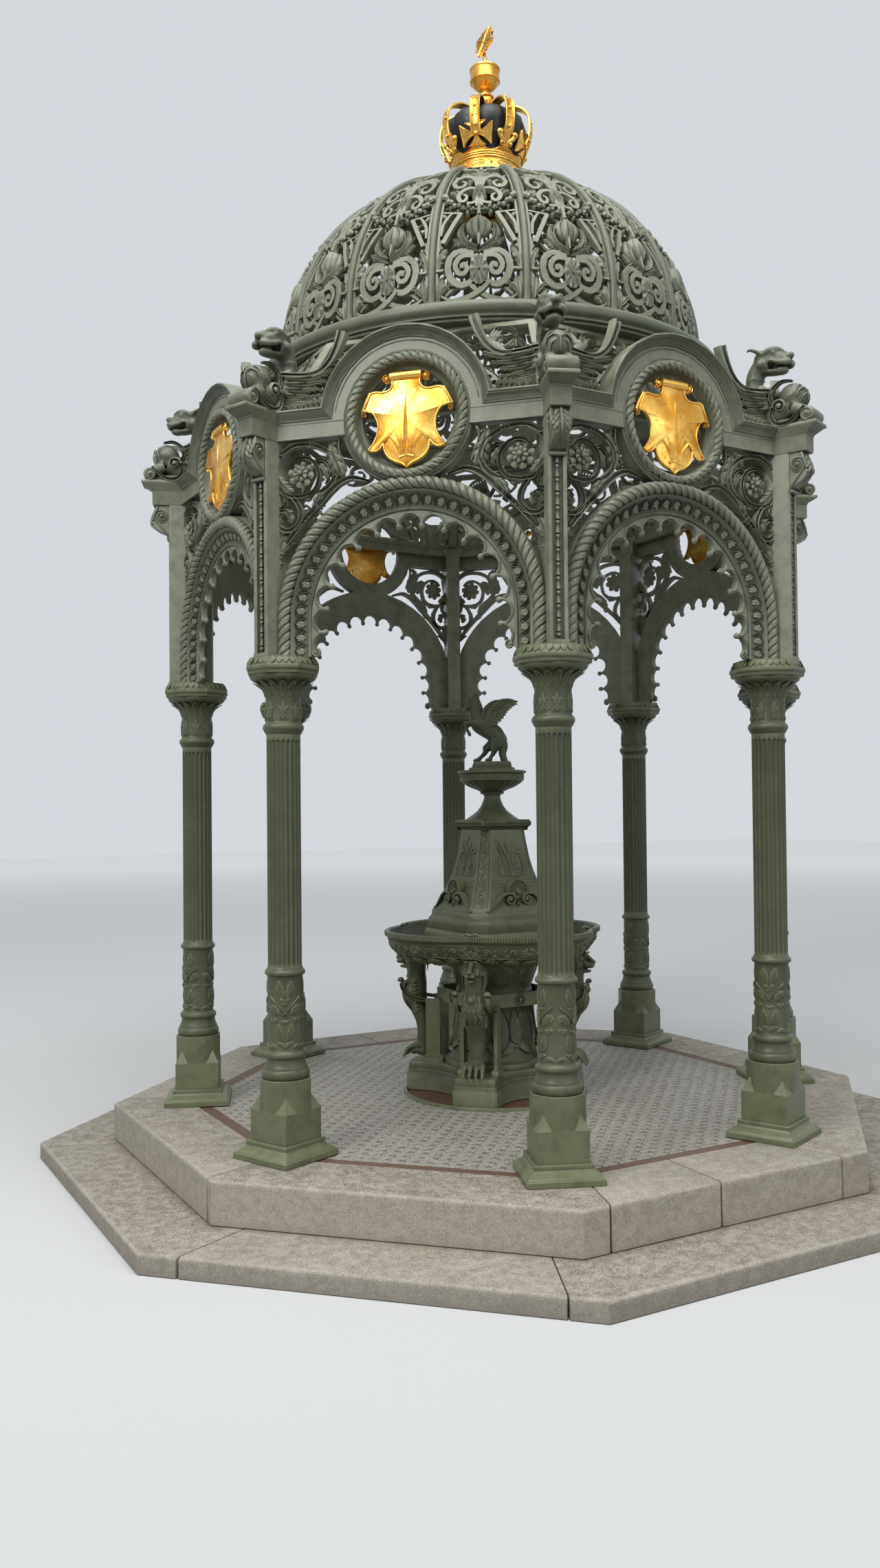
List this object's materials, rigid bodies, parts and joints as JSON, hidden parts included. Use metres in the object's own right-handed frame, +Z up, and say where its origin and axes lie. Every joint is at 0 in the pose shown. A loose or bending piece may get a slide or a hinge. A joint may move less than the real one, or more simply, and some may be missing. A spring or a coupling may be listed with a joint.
{
  "type": "cast-iron drinking fountain canopy",
  "caption": "Octagonal open cast-iron canopy with cusped arches and a pierced dome over a drinking fountain, on granite steps.",
  "frame": {"origin": "ground level on the vertical axis of the canopy and fountain", "axes": "+Z up; sides of the octagon face along X, Y and the diagonals, the pictured side faces between -X and -Y"},
  "size_m": [4.1206, 4.1206, 5.7105],
  "materials": {
    "granite": "rough",
    "mosaic": "matte",
    "green_iron": "satin",
    "grey_iron": "satin",
    "gilding": "polished",
    "black_cap": "satin"
  },
  "bodies": {
    "root": {"lower_step": "granite", "upper_step": "granite", "mosaic_floor": "mosaic", "column_1": "green_iron", "column_2": "green_iron", "column_3": "green_iron", "column_4": "green_iron", "column_5": "green_iron", "column_6": "green_iron", "column_7": "green_iron", "column_8": "green_iron", "fountain_plinth": "green_iron", "fountain_core": "green_iron", "lion_legs": "green_iron", "basin": "green_iron", "fountain_shaft": "green_iron", "tazza": "green_iron", "winged_figure": "green_iron", "arch_1": "grey_iron", "arch_2": "grey_iron", "arch_3": "grey_iron", "arch_4": "grey_iron", "arch_5": "grey_iron", "arch_6": "grey_iron", "arch_7": "grey_iron", "arch_8": "grey_iron", "pier_1": "grey_iron", "pier_2": "grey_iron", "pier_3": "grey_iron", "pier_4": "grey_iron", "pier_5": "grey_iron", "pier_6": "grey_iron", "pier_7": "grey_iron", "pier_8": "grey_iron", "griffins": "grey_iron", "frieze": "grey_iron", "dome_ring": "grey_iron", "dome_ribs": "grey_iron", "dome_panels": "grey_iron", "shields": "gilding", "crown_collar": "gilding", "crown_circlet": "gilding", "crown_leaves": "gilding", "crown_arches": "gilding", "finial": "gilding", "crown_cap": "black_cap"}
  },
  "joints": []
}
